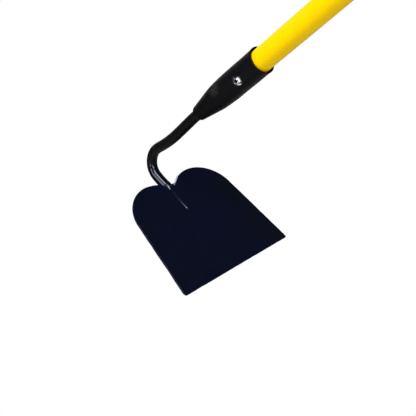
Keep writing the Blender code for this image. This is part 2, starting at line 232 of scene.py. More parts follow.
# %% [markdown]
# ## The blade's outline
# The blade is sheared from 2.6 mm plate and pressed. It has straight leaning sides, two round
# lobes and a notch between them. Lines and arcs that touch each other give the same outline as
# the shearing die. Points are then spread along it, closer together at the notch, where the weld
# and the bare steel are, and a sheared edge wanders a little.

# %% Places along a line
def lengths_along(line):
    """The distance of each point from the first, along the line."""
    return np.concatenate([[0.0], np.cumsum(np.linalg.norm(np.diff(line, axis=0), axis=1))])


def spots_on(line, distance):
    """x and y at some distances along a line."""
    return np.array([np.interp(distance, lengths_along(line), line[:, axis]) for axis in range(2)])


# %% The blade's outline
EDGE_WIDTH = 0.2032
BLADE_HEIGHT = 0.1535
SIDE_LEAN = math.radians(6.9)
LOBE_RADIUS = 0.050
CORNER_RADIUS = 0.003
NOTCH_HEIGHT = 0.1385
CORNER_STEPS, LOBE_STEPS = 12, 90
OUTLINE_POINTS = 600
NOTCH_CROWDING = 2.2             # how much closer together the points are at the notch
SHEAR_DEPTH, SHEAR_LENGTH = 0.00018, 0.018    # how far in the sheared outline wanders, over what length


def half_outline():
    """The right half, from the edge round the corner and up over the lobe to the notch.

    The lobe is an arc from the leaning side, which is tangent to it, to where a line from the
    bottom of the notch touches it.
    """
    lobe_y = BLADE_HEIGHT - LOBE_RADIUS
    lobe_x = EDGE_WIDTH / 2 - (LOBE_RADIUS + lobe_y * math.sin(SIDE_LEAN)) / math.cos(SIDE_LEAN)
    corner_x = EDGE_WIDTH / 2 - CORNER_RADIUS * (1 + math.sin(SIDE_LEAN)) / math.cos(SIDE_LEAN)
    rise = NOTCH_HEIGHT - lobe_y
    touch = math.atan2(rise, -lobe_x) - math.acos(LOBE_RADIUS / math.hypot(lobe_x, rise))
    corner = arc([corner_x, CORNER_RADIUS], CORNER_RADIUS, -math.pi / 2, SIDE_LEAN, CORNER_STEPS)
    lobe = arc([lobe_x, lobe_y], LOBE_RADIUS, SIDE_LEAN, touch, LOBE_STEPS)
    return np.concatenate([[[0.0, 0.0]], corner, lobe, [[0.0, NOTCH_HEIGHT]]])


def blade_outline():
    """Points round the blade, closer together at the notch, that wander inwards as a sheared edge."""
    right = half_outline()
    whole = np.concatenate([right[:-1], right[::-1] * [-1.0, 1.0]])
    t = np.linspace(-1.0, 1.0, OUTLINE_POINTS + 1)[:-1]
    crowded = t / NOTCH_CROWDING + (1 - 1 / NOTCH_CROWDING) * t ** 3
    points = spots_on(whole, (crowded + 1) / 2 * lengths_along(whole)[-1]).T
    flat = np.column_stack([points, np.zeros(len(points))])
    out = points - [0.0, BLADE_HEIGHT / 2]
    out /= np.linalg.norm(out, axis=1, keepdims=True)
    wander = np.minimum(unevenness(flat, SHEAR_LENGTH, seed=3), 0.0)
    return points + out * wander[:, None] * SHEAR_DEPTH


print("the blade is", round(float(lengths_along(blade_outline())[-1]), 3), "metres round")

# %% [markdown]
# ## The blade's faces
# The plate was pressed over the end of the bar, which left a rib that runs down from the notch,
# and the far side was ground along the cutting edge. Each face is a height over the same flat
# coordinates, so the back can follow the front at one thickness, as pressed plate does. A plain
# Solidify would keep the wall but not the ground strip.

# %% The blade's two faces as heights
BLADE_THICKNESS = 0.0026
GRIND_WIDTH = 0.005
GRIND_LAND = 0.001
RIB_NOSE_HEIGHT = 0.1028
RIB_LENGTH = 0.0357
RIB_RADII = (0.0148, 0.0180)     # radius of the rib's crown at its nose and at the notch
RIB_SLOPES = (math.radians(31.0), math.radians(24.5))    # steepness of its flanks' feet there
RIB_WALL = 0.0023
RIB_FOOT = 0.0001                # softness of the bend where the rib leaves the flat
PANEL_SWAY, SWAY_LENGTH = 0.00012, 0.075      # how far the flat face is from flat, over what length


def bar_height(x, y, inset):
    """Height over the face of a crown of radius R sunk by R cos(slope), less an inset.

    The radius changes evenly from the nose to the notch, the slope with the square of the way.
    Below the nose the crown is a part of a ball. Where the foot is less steep the rib is lower
    and flows into the flat.
    """
    along = np.clip((y - RIB_NOSE_HEIGHT) / RIB_LENGTH, 0.0, 1.0)
    below = np.clip(RIB_NOSE_HEIGHT - y, 0.0, None)
    radius = RIB_RADII[0] + (RIB_RADII[1] - RIB_RADII[0]) * along
    slope = RIB_SLOPES[0] + (RIB_SLOPES[1] - RIB_SLOPES[0]) * along ** 2
    crown = np.sqrt(np.clip((radius - inset) ** 2 - x ** 2 - below ** 2, 0.0, None))
    return crown - radius * np.cos(slope)


def raised(height, softness):
    """A smooth maximum of a height and zero: (h + sqrt(h^2 + softness^2)) / 2."""
    return (height + np.sqrt(height ** 2 + softness ** 2)) / 2


def front_height(x, y):
    """The user's side: flat but for the rib and a faint sway left by the press."""
    flat = np.stack([x, y, np.zeros_like(x)], axis=-1)
    return raised(bar_height(x, y, 0.0), RIB_FOOT) + PANEL_SWAY * unevenness(flat, SWAY_LENGTH, seed=5)


def back_height(x, y):
    """The far side: one thickness behind, hollow under the rib, ground thin along the edge."""
    hollow = raised(bar_height(x, y, RIB_WALL) + BLADE_THICKNESS, RIB_FOOT)
    ground = GRIND_LAND + (BLADE_THICKNESS - GRIND_LAND) * y / GRIND_WIDTH
    return np.maximum(-BLADE_THICKNESS + hollow, -np.maximum(ground, GRIND_LAND))


# %% [markdown]
# ## The plate as one surface
# Squares don't fill such an outline well, but rings do. Each ring is the outline drawn in towards
# a point below the rib, first down the front, then round the thin edge and over the back, so the
# whole plate is one closed surface. Each point also stores what its finish needs to know: whether
# it is ground, torn bare and painted pale as a highlight, pressed smooth by the rib's die, or
# greyer from a painted sheen.

# %% The blade as rings over the front, the edge and the back
HUB = np.array([0.0, 0.058])     # the point that the rings close in on
FACE_RINGS = 62
FACE_CROWDING = 0.8              # below 1 the rings of a face are closer together near the edge
EDGE_RINGS = 13
EDGE_ROUND = 0.0003              # how far in from the outline the sheared edge starts to round over
EDGE_SQUARENESS = 0.6
GROUND_TOP = (0.0042, 0.0056)    # heights over which the ground strip fades out
BARE_LEFT, BARE_RIGHT = (0.0010, 0.0025), (0.0165, 0.0215)    # where the bare wall starts and ends
BARE_LOW = (0.12, 0.13)
BARE_LAP = (0.55, 1.0)           # how bare the face's last two rings are, where the shear tore it
BACK_SIDE = (0.2, 0.9)           # how the ground strip fades in round the edge, 0 at its middle, 1 behind
PRESSED_RISE = (-0.0015, -0.0004)             # heights of its crown over which the pressed rib fades in
PAINTED_SHEEN_RIGHT, PAINTED_SHEEN_SHARE = (0.030, 0.090), 0.8        # how far out the painted sheen greys the paint, and how much
PAINTED_SHEEN_LEFT, PAINTED_SHEEN_HIGH = (0.070, 0.095), (0.08, 0.12)       # on the left the painted sheen reaches only high up


def blade_layers(x, y, side):
    """Where it is ground at the back, bare in the notch, pressed smooth at the rib, and greyer from a
    painted sheen.
    """
    ground = ease(-side * np.ones_like(y), *BACK_SIDE) * (1 - ease(y, *GROUND_TOP))
    wall = [np.zeros(FACE_RINGS - 2), BARE_LAP, np.ones(EDGE_RINGS), np.zeros(FACE_RINGS)]
    wall = np.concatenate(wall)[:, None]
    bare = wall * ease(x, *BARE_LEFT) * (1 - ease(x, *BARE_RIGHT)) * ease(y, *BARE_LOW)
    pressed = ease(bar_height(x, y, 0.0), *PRESSED_RISE) * (side > 0)
    # painted sheen: greyer to the right, and on the left only high up
    painted_sheen = PAINTED_SHEEN_SHARE * ease(x, *PAINTED_SHEEN_RIGHT) + ease(-x, *PAINTED_SHEEN_LEFT) * ease(y, *PAINTED_SHEEN_HIGH)
    return {"ground": ground, "bare": bare, "pressed": pressed, "painted_sheen": painted_sheen}


def make_blade():
    """Rings from the hub out over the front, round the edge, and over the back to the hub again.

    A face ring is the outline scaled about the hub. On the edge the inset goes as 1 - sin, and
    the height from front to back as a cosine raised to a power, which squares it off.
    """
    outline = blade_outline()
    reach = np.linalg.norm(outline - HUB, axis=1)
    face = np.linspace(0.0, 1.0, FACE_RINGS) ** FACE_CROWDING
    turn = np.linspace(0.0, math.pi, EDGE_RINGS + 2)[1:-1]
    scale = np.concatenate([face, np.ones(EDGE_RINGS), face[::-1]])
    inset = np.concatenate([face, 1 - np.sin(turn), face[::-1]]) * EDGE_ROUND
    side = np.sign(np.cos(turn)) * np.abs(np.cos(turn)) ** EDGE_SQUARENESS
    side = np.concatenate([np.ones(FACE_RINGS), side, -np.ones(FACE_RINGS)])[:, None]
    flat = HUB + (outline - HUB) * (scale[:, None] * (1 - inset[:, None] / reach))[..., None]
    x, y = flat[..., 0], flat[..., 1]
    front, back = front_height(x, y), back_height(x, y)
    z = (front + back) / 2 + (front - back) / 2 * side
    return make_piece("blade_plate", on_blade(x, y, z), **blade_layers(x, y, side))


blade = make_blade()

# %% [markdown]
# ## The bent bar
# The shank is one round bar, bent cold in several places. A bend is easiest to describe by how
# much the bar turns over how long a run, as the bender is set. Adding up the turns gives the
# heading, and adding up the headings gives the place. Averaging the turn over a few millimetres
# makes one bend flow into the next, as a bar does under a bending tool.

# %% The line that the bar follows
SHANK_RADIUS = 0.00705
SHANK_START = -0.104
SHANK_NOSE_HEIGHT = 0.1030
EDGE_DROP, EDGE_REACH = 0.1868, 0.2067        # from the mouth to the cutting edge, away and along
BLADE_LEAN = math.radians(14.56)
SHANK_RUNS = (                   # length and turn, from the socket to the main bend
    (0.032, 0.0),
    (0.010, math.radians(2.9)),
    (0.0348, 0.0),
    (0.040, math.radians(-10.1)),
    (0.0077, 0.0),
)
MAIN_BEND = ((0.030, 0.53), (0.020, 0.47))    # radius and share of the turn of its two parts
BEND_TO_TUCK = 0.004
TUCK_LENGTH = 0.016
TUCK_TURN = math.radians(9.5)
LAST_RUN = 0.05                  # longer than needed, and cut where the bar's nose is
SHANK_SPACING = 0.0004
BEND_BLEND = 0.007               # length over which a bend is averaged
LOOK_BACK = 60                   # steps before the last run from which the nose is looked for


def bar_line():
    """Centre (y, z), heading and curvature along the bar.

    Heading is the sum of curvature times step, place the sum of direction times step.
    """
    before = sum(turn for _, turn in SHANK_RUNS)
    bend = math.pi / 2 + BLADE_LEAN - before
    runs = [*SHANK_RUNS]
    runs += [(radius * share * bend, share * bend) for radius, share in MAIN_BEND]
    runs += [(BEND_TO_TUCK, 0.0), (TUCK_LENGTH, TUCK_TURN), (TUCK_LENGTH, -TUCK_TURN), (LAST_RUN, 0.0)]
    lengths, turns = np.array(runs).T
    counts = np.maximum(1, np.round(lengths / SHANK_SPACING).astype(int))
    curvature = np.repeat(turns / (counts * SHANK_SPACING), counts)
    window = np.hanning(round(BEND_BLEND / SHANK_SPACING) + 2)
    curvature = np.convolve(curvature, window / window.sum(), mode="same")
    heading = np.cumsum(curvature) * SHANK_SPACING
    y = -np.cumsum(np.sin(heading)) * SHANK_SPACING
    z = SHANK_START - np.cumsum(np.cos(heading)) * SHANK_SPACING
    height = (y + EDGE_DROP) * math.cos(BLADE_LEAN) - (z + EDGE_REACH) * math.sin(BLADE_LEAN)
    past = np.arange(len(y)) > counts[:-1].sum() - LOOK_BACK
    end = np.argmax(past & (height < SHANK_NOSE_HEIGHT))
    return y[:end], z[:end], heading[:end], curvature[:end]


# %% [markdown]
# ## The bar's skin
# A curve with a round bevel would make a bar too. Sweeping a circle by formula lets a bend
# flatten it slightly and lets both its ends round off, and each point can store how glossy its
# coat is there.

# %% Sweep a circle along the line
BAR_SIDES = 72
BAR_END_ROUND = 0.0022           # length over which each end of the bar rounds off
BEND_OVAL = 0.00016              # how much a full bend flattens the bar
GLOSS_FROM, GLOSS_TO = 0.1500, 0.1555    # stretch over which the thick glossy coat begins


def make_bar():
    """Circles square to the line: centre + r (cos a . across + sin a . outward).

    The radius r goes to nothing at both ends as a quarter circle.
    """
    y, z, heading, curvature = bar_line()
    run = np.arange(len(y)) * SHANK_SPACING
    from_end = np.minimum(run, run[-1] - run)
    shrink = np.sqrt(1 - np.clip(1 - from_end / BAR_END_ROUND, 0.0, 1.0) ** 2)
    a = angles(BAR_SIDES)
    oval = BEND_OVAL * (curvature / np.abs(curvature).max())[:, None] * np.cos(2 * a)
    radius = (SHANK_RADIUS + oval) * shrink[:, None]
    out_y, out_z = np.cos(heading), -np.sin(heading)
    x = radius * np.cos(a)
    out = radius * np.sin(a)
    points = in_tool(x, y[:, None] + out * out_y[:, None], z[:, None] + out * out_z[:, None])
    gloss = ease(run, GLOSS_FROM, GLOSS_TO)[:, None]
    turn = np.degrees(heading[-1]).round(1)
    print("the bar is", run[-1].round(4), "metres long and turns by", turn, "degrees")
    return make_piece("shank_bar", points, gloss=gloss)


bar = make_bar()

# %% [markdown]
# ## The socket
# The socket is a tube that has been swaged down to the bar at one end. Its mouth keeps a slightly
# rounded lip. A closed ring of corners goes up the outside and down the inside, and turning it
# about the handle's axis gives both walls at once, which a modifier would need two steps for.
# Real swaging leaves the tube a little uneven.

# %% Turn a profile about the handle's axis
def turned(name, profile, sides, ring, dents, dent_size, seed, **layers):
    """Places (r cos a, r sin a, z) for each profile point (r, z), r changed a little by unevenness."""
    a = angles(sides)
    radius, z = profile[:, 0:1], profile[:, 1:2]
    flat = np.stack(np.broadcast_arrays(radius * np.cos(a), radius * np.sin(a), z), axis=-1)
    radius = radius + dents * unevenness(flat, dent_size, seed) * (radius > 1e-6)
    return make_piece(name, in_tool(radius * np.cos(a), radius * np.sin(a), z), ring, **layers)


# %% The socket's walls
GAP = 0.0003
HANDLE_RADIUS = 0.0143
SOCKET_RADIUS = 0.0171
SOCKET_LIP = 0.0020
SOCKET_STRAIGHT = 0.062
SOCKET_SHOULDER = (0.0162, 0.0865)
SOCKET_NECK = (0.0093, 0.1285)
LIP_FLARE = 0.0004               # how much the mouth spread when the handle was driven in
FLARE_LENGTH = 0.0050
NECK_FULLNESS = 0.0005           # how much the swaged end stands out again
SOCKET_SIDES = 128
SOCKET_DENTS, SOCKET_DENT_SIZE = 0.00007, 0.035
BROWN_PATCH_ANGLE, BROWN_PATCH_PLACE = math.radians(158.0), -0.0725
BROWN_PATCH_SPREAD = (math.radians(26.0), 0.0105)


def socket_profile():
    """Outside from the flared lip to the neck, then the bore back to the mouth's chamfer."""
    bore, neck_bore = HANDLE_RADIUS + GAP / 2, SHANK_RADIUS + GAP / 2
    neck, shoulder = -SOCKET_NECK[1], -SOCKET_SHOULDER[1]
    outline = rounded([
        (SOCKET_RADIUS + LIP_FLARE, SOCKET_LIP, 0.0006),
        (SOCKET_RADIUS, -FLARE_LENGTH, 0.020),
        (SOCKET_RADIUS, -SOCKET_STRAIGHT, 0.300),
        (SOCKET_SHOULDER[0], shoulder, 0.140),
        (SOCKET_NECK[0] + NECK_FULLNESS, neck, 0.0007),
        (neck_bore, neck, 0.0002),
        (neck_bore, neck + 0.006, 0.0004),
        (bore, shoulder, 0.0004),
        (bore, -0.0030, 0.0040),
        (SOCKET_RADIUS + LIP_FLARE - 0.0013, SOCKET_LIP, 0.0004),
    ], 10)
    return filled_in(np.concatenate([outline, outline[:1]]), 0.0025)[:-1]


def make_socket():
    """The walls turned about the axis, with a value that is 1 at the brownish patch near the shoulder."""
    profile = socket_profile()
    from_spot = (angles(SOCKET_SIDES) - BROWN_PATCH_ANGLE) / BROWN_PATCH_SPREAD[0]
    up_spot = (profile[:, 1:2] - BROWN_PATCH_PLACE) / BROWN_PATCH_SPREAD[1]
    rubbed = np.exp(-from_spot ** 2 - up_spot ** 2)
    return turned("socket_shell", profile, SOCKET_SIDES, ring=True,
                  dents=SOCKET_DENTS, dent_size=SOCKET_DENT_SIZE, seed=11, rubbed=rubbed)


socket = make_socket()

# %% [markdown]
# ## The handle, its plug and its cap
# The handle is a tube of glass fibre drawn through a die in yellow resin, so it is straight and
# smooth, with faint lines along it. The cap is a dipped vinyl cup with a soft rim. Both are
# turned shapes, like the socket. The wooden plug stays as it is: it is out of sight and only
# needs its finish.

# %% The handle tube and the cap
HANDLE_WALL = 0.0030
HANDLE_LENGTH = 1.3716
HANDLE_INSERTION = 0.080
CAP_WALL = 0.0018
CAP_LENGTH = 0.038
CAP_STEP = 0.0004                # height of the step in the cap's flat end
CAP_STEP_FOOT, CAP_STEP_TOP = 0.0102, 0.0108    # radii between which it rises
HANDLE_TOP = HANDLE_LENGTH - HANDLE_INSERTION
TURNED_SIDES = 96


def handle_profile():
    """A ring of four corners, outside and inside, split into short runs."""
    bore, low = HANDLE_RADIUS - HANDLE_WALL, -HANDLE_INSERTION
    outline = rounded([
        (HANDLE_RADIUS, HANDLE_TOP, 0.0005), (HANDLE_RADIUS, low, 0.0005),
        (bore, low, 0.0005), (bore, HANDLE_TOP, 0.0005),
    ], 3)
    return filled_in(np.concatenate([outline, outline[:1]]), 0.010)[:-1]


def cap_profile():
    """Over the end and its step, down the outside to a bead at the rim, and up the inside."""
    inside, end = HANDLE_RADIUS + GAP / 2, HANDLE_TOP + GAP / 2
    outside, low = HANDLE_RADIUS + GAP + CAP_WALL, HANDLE_TOP - CAP_LENGTH
    top = HANDLE_TOP + GAP + 1.5 * CAP_WALL
    outline = rounded([
        (0.0, top - CAP_STEP, 0.0), (CAP_STEP_FOOT, top - CAP_STEP, 0.0003), (CAP_STEP_TOP, top, 0.0004),
        (outside, top, 0.0022), (outside, low + 0.0046, 0.0010),
        (outside - 0.0003, low + 0.0040, 0.0004), (outside, low + 0.0034, 0.0006),
        (outside, low, 0.0009), (inside, low, 0.0004), (inside, end, 0.0003), (0.0, end, 0.0),
    ], 5)
    return filled_in(outline, 0.003)


handle = turned("handle_grip", handle_profile(), TURNED_SIDES, ring=True,
                dents=0.00004, dent_size=0.120, seed=21)
cap = turned("handle_cap", cap_profile(), TURNED_SIDES, ring=False,
             dents=0.00005, dent_size=0.020, seed=23)


# %% [markdown]
# ## The rivet
# A tubular rivet holds the handle. Its tail is rolled outwards over a hollow punch, so it looks
# like a small doughnut with a dark hole, and the roll is never quite even. The far end is a plain
# low dome. Both heads sit on a round socket, so the rim of each follows a cylinder. The rivet is
# turned like the other round pieces, but its heads are bent onto the socket, and the hollow of
# the rolled one is pushed off the middle.

# %% Heads and pin in one turned surface
RIVET_DISTANCE = 0.0318
RIVET_ROLL = math.radians(13.0)
RIVET_PIN = 0.0024
RIVET_HEAD_RADIUS = 0.0063
RIVET_HEAD_HEIGHT = 0.0037
RIVET_HOLLOW_RADIUS = 0.0012
RIVET_HOLLOW_DEPTH = 0.0022
RIVET_CREST = 0.0021             # radius at which the rolled head is highest
RIVET_TAIL_HEIGHT = 0.0030
RIVET_SIDES = 80
ROLL_UNEVENNESS = 0.00022
PAINTED_SHADE_ANGLE = math.radians(265.0)       # side where the rim is painted dark as shade
RIM_SHIFT = -0.0004              # how far the rolled rim ended up along the handle
CREST_SHIFT = (0.0011, -0.0006)  # how far the punch pushed the hollow along the handle and aside
SEAT_RADIUS = SOCKET_RADIUS + 0.0001
BENT_FROM = 0.45                 # share of the head's radius from which it is bent onto the socket
PAINTED_SHADE_FROM, PAINTED_SHADE_TO = 0.5, 0.75            # shares of it between which the painted shade begins
HOLE_TO = 1.3                    # how far the hollow's darkness reaches, as a share of the crest's radius
PIN_REACH = 0.95                 # how far the pin goes out on each side, as a share of the socket's radius

RIVET_AXIS = -(math.cos(RIVET_ROLL) * ACROSS + math.sin(RIVET_ROLL) * AWAY)
RIVET_SIDE = np.cross(ALONG, RIVET_AXIS)
RIVET_PLACE = MOUTH - RIVET_DISTANCE * ALONG


def seat_height(radius, angle):
    """Height of the round socket under a point of the head: sqrt(R^2 - (r sin a)^2)."""
    return np.sqrt(SEAT_RADIUS ** 2 - (radius * np.sin(angle)) ** 2)


def rolled_head():
    """Rows of (radius, height above the seat): the hollow, its round lip, and the dome to the rim.

    The lip is a quarter circle that turns out of the hollow. From its crest the dome falls as
    H (1 - t^2)^0.8, with t from 0 at the crest to 1 at the rim.
    """
    floor = np.linspace(0.0, 0.9 * RIVET_HOLLOW_RADIUS, 5)
    lip = np.linspace(0.0, math.pi / 2, 12)
    t = np.linspace(0.0, 1.0, 30)[1:]
    lip_size = RIVET_CREST - RIVET_HOLLOW_RADIUS
    crest = RIVET_HEAD_HEIGHT
    dome_radius = RIVET_CREST + (RIVET_HEAD_RADIUS - RIVET_CREST) * t
    return np.concatenate([
        np.column_stack([floor, np.full(len(floor), crest - RIVET_HOLLOW_DEPTH)]),
        np.column_stack([RIVET_CREST - lip_size * np.cos(lip), crest - lip_size * (1 - np.sin(lip))]),
        np.column_stack([dome_radius, crest * (1 - t ** 2) ** 0.8]),
    ])


def make_rivet():
    """Rolled head, pin and plain dome as one surface of rows by angle, from pole to pole."""
    a = angles(RIVET_SIDES)
    head = rolled_head()
    rim = head[:, 0:1]
    radius, height = head.T[..., None] * np.ones_like(a)
    seat, top = seat_height(radius, a), seat_height(0 * radius, a)
    share = ease(radius, BENT_FROM * RIVET_HEAD_RADIUS, RIVET_HEAD_RADIUS)
    lobes = np.stack([np.cos(a), np.sin(a), 0 * a], axis=-1)
    uneven = unevenness(lobes, 1.3, seed=31) * ROLL_UNEVENNESS * ease(radius, 0.0, RIVET_CREST)
    head_height = height * (1 + uneven / RIVET_HEAD_HEIGHT) + top + (seat - top) * share
    pin_height = np.array([[PIN_REACH], [-PIN_REACH]]) * SOCKET_RADIUS * np.ones_like(a)
    tail = np.linspace(math.pi / 2, 0.0, 16)[:, None]
    tail_radius = RIVET_HEAD_RADIUS * np.sin(tail) * np.ones_like(a)
    tail_height = RIVET_TAIL_HEIGHT * np.cos(tail) ** 0.9 + seat_height(tail_radius, a)
    radius = np.concatenate([radius, RIVET_PIN * np.ones((2, len(a))), tail_radius])[..., None]
    height = np.concatenate([head_height, pin_height, -tail_height])[..., None]
    points = RIVET_PLACE + height * RIVET_AXIS
    points = points + radius * (np.cos(a)[:, None] * ALONG + np.sin(a)[:, None] * RIVET_SIDE)
    share = 1 - (rim[..., None] / RIVET_HEAD_RADIUS) ** 2
    points[:len(head)] += (RIM_SHIFT + (CREST_SHIFT[0] - RIM_SHIFT) * share) * ALONG
    points[:len(head)] += CREST_SHIFT[1] * share * RIVET_SIDE
    coated, hole = np.zeros((2, *points.shape[:2]))
    outer = ease(rim, PAINTED_SHADE_FROM * RIVET_HEAD_RADIUS, PAINTED_SHADE_TO * RIVET_HEAD_RADIUS)
    # painted shade darkens one side of the rim
    coated[:len(head)] = ease(np.cos(a - PAINTED_SHADE_ANGLE), 0.1, 0.8) * outer
    hole[:len(head)] = 1 - ease(rim, RIVET_CREST, HOLE_TO * RIVET_CREST)
    return make_piece("rivet_rolled", points, hole=hole, coated=coated)


rivet = make_rivet()

# %% [markdown]
# ## Fillet welds
# Two beads at the back join the bar to the blade. Weld metal cools in overlapping scales, like a
# row of coins pushed over. A bead is therefore a tube whose radius rises slowly and drops
# quickly, again and again, and slight unevenness takes the regularity off it.

# %% Fillet beads at the back of the blade
BEAD_RADIUS = 0.0022
BEAD_LENGTH = 0.024
BEAD_START = 0.1048              # height of its lower end on the blade
BEAD_STEPS, BEAD_SIDES = 220, 40
BEAD_DENTS, BEAD_DENT_SIZE = 0.10, 0.006      # dents of a bead, as shares of its radius
BEAD_TO_PLATE, BEAD_TO_BAR = 0.75, 0.8        # how far a bead's middle is from each, in radii
SCALE_LENGTH = 0.0021            # from one scale of the weld to the next
SCALE_HEIGHT, SCALE_RISE, SCALE_DROP = 0.11, 1.6, 0.16


def bar_depth():
    """How far behind the blade's face the middle of the bar ends up."""
    y, z, _, _ = bar_line()
    return (y[-1] + EDGE_DROP) * math.sin(BLADE_LEAN) + (z[-1] + EDGE_REACH) * math.cos(BLADE_LEAN)


def make_bead(name, side, seed):
    """A tube up the blade beside the bar, its radius a sawtooth of scales that tapers at both ends."""
    depth = -BLADE_THICKNESS - BEAD_RADIUS * BEAD_TO_PLATE
    aside = math.sqrt((SHANK_RADIUS + BEAD_RADIUS * BEAD_TO_BAR) ** 2 - (depth - bar_depth()) ** 2)
    run = np.linspace(0.0, BEAD_LENGTH, BEAD_STEPS)
    a = angles(BEAD_SIDES)
    saw = (run / SCALE_LENGTH) % 1.0
    scale = 1.0 + SCALE_HEIGHT * saw ** SCALE_RISE * ease(1 - saw, 0.0, SCALE_DROP)
    ends = np.sqrt(np.clip(1 - (2 * run / BEAD_LENGTH - 1) ** 6, 0.0, 1.0))
    radius = BEAD_RADIUS * (scale * ends)[:, None] * np.ones_like(a)
    y = BEAD_START + run[:, None] * np.ones_like(a)
    even = np.stack([side * aside + radius * np.cos(a), y, depth + radius * np.sin(a)], axis=-1)
    radius = radius * (1 + BEAD_DENTS * unevenness(even, BEAD_DENT_SIZE, seed))
    return make_piece(name, on_blade(side * aside + radius * np.cos(a), y, depth + radius * np.sin(a)))


bead_left = make_bead("bead_left", -1, seed=41)
bead_right = make_bead("bead_right", 1, seed=43)

# %% [markdown]
# ## The welds in the notch and at the neck
# In the notch the weld is a lump that lapped over the plate's edge. Molten metal draws itself
# round, so squashed balls that overlap look right where a modelled lump looks carved. At the
# socket's neck a ring of scales closes the joint with the bar.

# %% The lump in the notch and the ring at the socket's neck
NOTCH_LUMPS = (                  # place and radii on the blade, seed, and how far a lump leans aside
    ((-0.0073, 0.1395, 0.0006), (0.0011, 0.0037, 0.0010), 51, 0.23),
    ((0.0034, 0.1400, -0.0012), (0.0050, 0.0026, 0.0022), 53, 0.0),
    ((-0.0008, 0.1396, -0.0022), (0.0062, 0.0030, 0.0026), 57, 0.0),
    ((-0.0083, 0.1440, -0.0010), (0.0014, 0.0024, 0.0018), 59, 0.3),
)
LUMP_ROUGHNESS = 0.10
RING_SCALES = 26
RING_SIDES, RING_ROWS = 240, 16
RING_LEAST, RING_SWELL = 0.78, 0.16           # thickness between its scales, and how much they add
RING_RISE, RING_DROP = 1.5, 0.15
RING_BELOW, RING_ABOVE = 0.0030, 0.0010       # how far the ring reaches from the socket's end


def ball(radii, seed, roughness, rows=36, columns=48):
    """A ball squashed to three radii, with coarse and fine unevenness in its distance from the middle."""
    tilt = np.linspace(0.0, math.pi, rows)[:, None]
    a = angles(columns)
    unit = np.sin(tilt) * np.cos(a), np.sin(tilt) * np.sin(a), np.cos(tilt)
    unit = np.stack(np.broadcast_arrays(*unit), axis=-1)
    swell = unevenness(unit, 1.6, seed) + 0.5 * unevenness(unit, 0.6, seed + 1)
    return unit * radii * (1 + roughness * swell)[..., None]


def make_notch_weld():
    """Lumps that overlap, each a squashed ball in blade coordinates; the first is the bare nugget, made
    pale partly as a painted highlight.
    """
    pieces = []
    for number, (place, radii, seed, lean) in enumerate(NOTCH_LUMPS):
        shape = ball(np.array(radii), seed, LUMP_ROUGHNESS)
        shape = shape + shape[..., 1:2] * [lean, 0.0, 0.0] + place
        pieces.append(make_piece(f"notch_lump_{number}", on_blade(*np.moveaxis(shape, -1, 0))))
    return pieces


def make_neck_ring():
    """A bead round the bar: a half round profile that swells with each scale on its way round."""
    a = angles(RING_SIDES)
    inner, outer = SHANK_RADIUS - GAP, SOCKET_NECK[0] - GAP
    low, high = -SOCKET_NECK[1] - RING_BELOW, -SOCKET_NECK[1] + RING_ABOVE
    t = np.linspace(0.0, math.pi / 2, RING_ROWS)[:, None]
    saw = (a / (2 * math.pi) * RING_SCALES) % 1.0
    scale = RING_LEAST + RING_SWELL * saw ** RING_RISE * ease(1 - saw, 0.0, RING_DROP)
    radius = inner + (outer - inner) * np.cos(t) ** 0.8 * scale
    z = high + (low - high) * np.sin(t) * (0.9 + 0.1 * scale)
    radius = np.concatenate([inner * np.ones((1, len(a))), radius])
    z = np.concatenate([high * np.ones((1, len(a))), z])
    return make_piece("neck_ring", in_tool(radius * np.cos(a), radius * np.sin(a), z), ring=True)


notch_lumps = make_notch_weld()
neck_ring = make_neck_ring()

# %% [markdown]
# ## Spatter
# Welding throws small drops, which freeze where they land. A few of them stuck along the notch's
# right side. They are drawn from a seed, so they lie the same at each run, and one mesh holds
# them all, so that a drop costs only a few dozen faces.

# %% Spatter along the right side of the notch
SPATTER_COUNT = 34
SPATTER_REACH = 0.024            # how far from the notch's bottom it landed
SPATTER_SPREAD = (0.10, 1.0)     # the share of that reach that has any
SPATTER_SIZES, SPATTER_STRETCH = (0.0003, 0.0009), (1.0, 1.4, 1.0)
SPATTER_DEPTHS = (-0.0021, -0.0005)           # where it sits on the sheared wall, behind the face
SPATTER_ROUGHNESS = 0.07


def make_spatter():
    """Small balls along the notch's right side: one grid for each, all stacked into one mesh."""
    draw = np.random.default_rng(61)
    along = np.sort(draw.uniform(*SPATTER_SPREAD, SPATTER_COUNT))
    half = half_outline()
    side = half[half[:, 0] < SPATTER_REACH][::-1]
    side = side[side[:, 1] > 0.1]
    x, y = spots_on(side, along * SPATTER_REACH)
    size = draw.uniform(*SPATTER_SIZES, (SPATTER_COUNT, 3)) * SPATTER_STRETCH
    z = draw.uniform(*SPATTER_DEPTHS, SPATTER_COUNT)
    unit = ball(np.ones(3), 67, SPATTER_ROUGHNESS, rows=9, columns=12)
    shapes = np.stack([x, y, z], axis=-1)[:, None, None] + unit * size[:, None, None]
    count, rows, columns = shapes.shape[:3]
    faces = grid_faces(rows, columns, ring=False)
    faces = np.arange(count)[:, None, None] * rows * columns + faces
    places = on_blade(*np.moveaxis(shapes, -1, 0))
    mesh = bpy.data.meshes.new("notch_spatter")
    mesh.from_pydata(places.reshape(-1, 3), [], faces.reshape(-1, 4))
    return close_and_add("notch_spatter", mesh)


spatter = make_spatter()

# %% [markdown]
# ## Finishes from nodes
# A finish is a Principled shader with its colour, roughness and bump driven by noise, which needs
# no picture and no unwrapping. The patterns read Object coordinates, which are metres here, so a
# noise scale of 1000 makes grains of about a millimetre. Every socket knows the tree that it
# belongs to, as its id_data, so each helper adds its node beside the socket or shader it is
# given.

# %% Start a material and add nodes to it
def start_finish(name, **values):
    """A material and its Principled shader, whose named inputs are set directly."""
    finish = bpy.data.materials.new(name)
    finish.use_nodes = True
    shader = finish.node_tree.nodes["Principled BSDF"]
    for socket, value in values.items():
        shader.inputs[socket.replace("_", " ")].default_value = value
    return finish, shader


